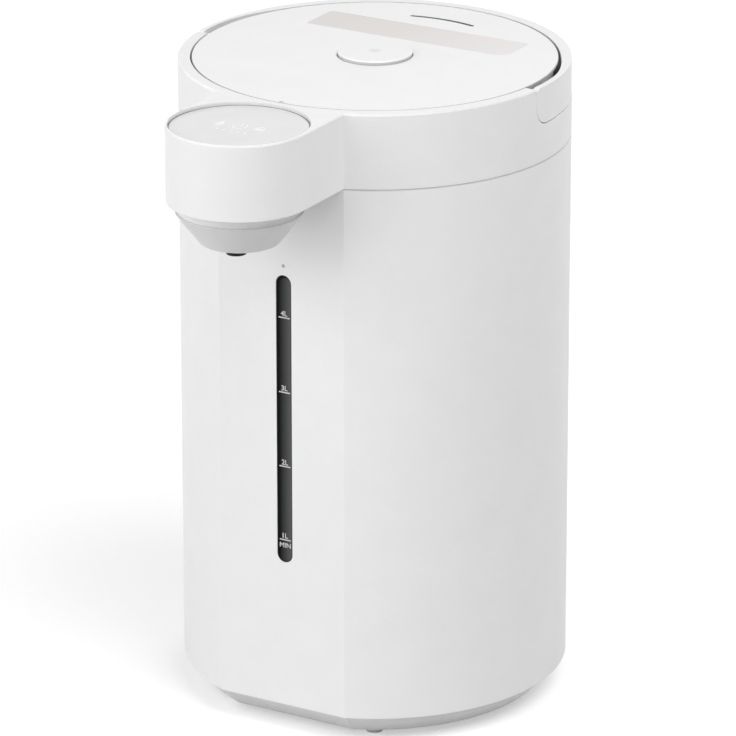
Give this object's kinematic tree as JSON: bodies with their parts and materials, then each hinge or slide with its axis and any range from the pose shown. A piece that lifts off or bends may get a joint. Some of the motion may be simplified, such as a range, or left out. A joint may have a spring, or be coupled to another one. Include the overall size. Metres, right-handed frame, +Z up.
{
  "type": "electric thermo pot",
  "caption": "Electric thermo pot: round body with flat front, water window, spout head with touch panel, flush lift-off lid, half-ring carry handle and electric pump.",
  "frame": {"origin": "centre of the whole footprint, spout head included, on the surface that the feet stand on", "axes": "+Z up, the spout looks along -Y, +X to the right of someone who faces the spout; the round body's axis stands at y = +35.85 mm"},
  "size_m": [0.21, 0.2816, 0.3568],
  "materials": {
    "white_plastic": "fine satin moulded plastic, white",
    "white_lid": "fine satin moulded plastic, white",
    "grey_plastic": "satin moulded plastic, light grey",
    "panel_gloss": "glossy touch panel, pale grey",
    "black_plastic": "satin black plastic",
    "smoked_clear": "clear moulded lens, slightly smoked",
    "tube_clear": "clear tube",
    "stainless": "drawn stainless steel",
    "zinc_steel": "zinc plated steel",
    "cast_aluminium": "cast aluminium, as cast",
    "silicone": "milky silicone",
    "foot_rubber": "grey rubber",
    "felt": "needled glass felt",
    "brass_contact": "nickel-free brass",
    "circuit_board": "green solder mask",
    "cable_jacket": "dark cable jacket",
    "white_technical": "natural heat-proof plastic"
  },
  "bodies": {
    "pot": {"outer_shell": "white_plastic", "collar_housing": "white_plastic", "spout_cowl": "grey_plastic", "outlet_nozzle": "black_plastic", "display_panel": "panel_gloss", "display_board": "circuit_board", "window_bezel": "black_plastic", "level_window": "smoked_clear", "tube_channel": "black_plastic", "sight_tube": "tube_clear", "riser_hose": "silicone", "spout_hose": "silicone", "inner_tank": "stainless", "tank_bottom": "stainless", "tank_seal": "silicone", "tank_clamp_ring": "zinc_steel", "clamp_screws": "zinc_steel", "insulation_jacket": "felt", "heater_plate": "cast_aluminium", "boil_dry_thermostat": "white_technical", "temperature_sensor": "brass_contact", "thermal_fuse": "white_technical", "heat_shield": "zinc_steel", "tank_outlet_hose": "silicone", "pump_cover": "white_technical", "pump_case": "white_technical", "pump_motor": "zinc_steel", "base_pan": "grey_plastic", "base_screws": "zinc_steel", "rubber_feet": "foot_rubber", "power_inlet": "black_plastic", "inlet_pins": "brass_contact", "control_board": "circuit_board", "power_leads": "cable_jacket", "display_cable": "cable_jacket", "handle_pins": "stainless"},
    "handle": {"carry_handle": "white_plastic"},
    "lid": {"lid_cover": "white_lid", "lid_base": "white_technical", "lid_screws": "zinc_steel", "lid_inner_plate": "stainless", "lid_gasket": "silicone", "steam_duct": "white_technical", "button_spring": "stainless"},
    "button": {"lid_button": "white_lid"},
    "bolt_right": {"latch_right": "white_technical"},
    "bolt_left": {"latch_left": "white_technical"},
    "impeller": {"pump_impeller": "white_technical"},
    "rotor": {"motor_rotor": "zinc_steel"}
  },
  "joints": [
    {"name": "handle_hinge", "type": "hinge", "parent": "pot", "child": "handle", "pos_m": [0, 0.02905, 0.3505], "axis": [1, 0, 0], "range_deg": [0, 90]},
    {"name": "lid_lift", "type": "slide", "parent": "pot", "child": "lid", "axis": [0, 0, 1], "range_m": [0, 0.17]},
    {"name": "button_press", "type": "slide", "parent": "lid", "child": "button", "axis": [0, 0, -1], "range_m": [0, 0.0026], "stiffness_N_per_m": 900, "springref_m": -0.003, "deforming": ["button_spring"]},
    {"name": "bolt_right_slide", "type": "slide", "parent": "lid", "child": "bolt_right", "axis": [-1, 0, 0], "range_m": [0, 0.0026]},
    {"name": "bolt_left_slide", "type": "slide", "parent": "lid", "child": "bolt_left", "axis": [1, 0, 0], "range_m": [0, 0.0026]},
    {"name": "motor_spin", "type": "hinge", "parent": "pot", "child": "rotor", "pos_m": [-0.01, -0.01415, 0.02], "axis": [0, 0, 1], "continuous": true},
    {"name": "impeller_spin", "type": "hinge", "parent": "pot", "child": "impeller", "pos_m": [-0.01, -0.01415, 0.032], "axis": [0, 0, 1], "continuous": true}
  ],
  "couplings": [
    {"joint": "bolt_right_slide", "follows": "button_press", "ratio": 1},
    {"joint": "bolt_left_slide", "follows": "button_press", "ratio": 1},
    {"joint": "impeller_spin", "follows": "motor_spin", "ratio": 1}
  ]
}
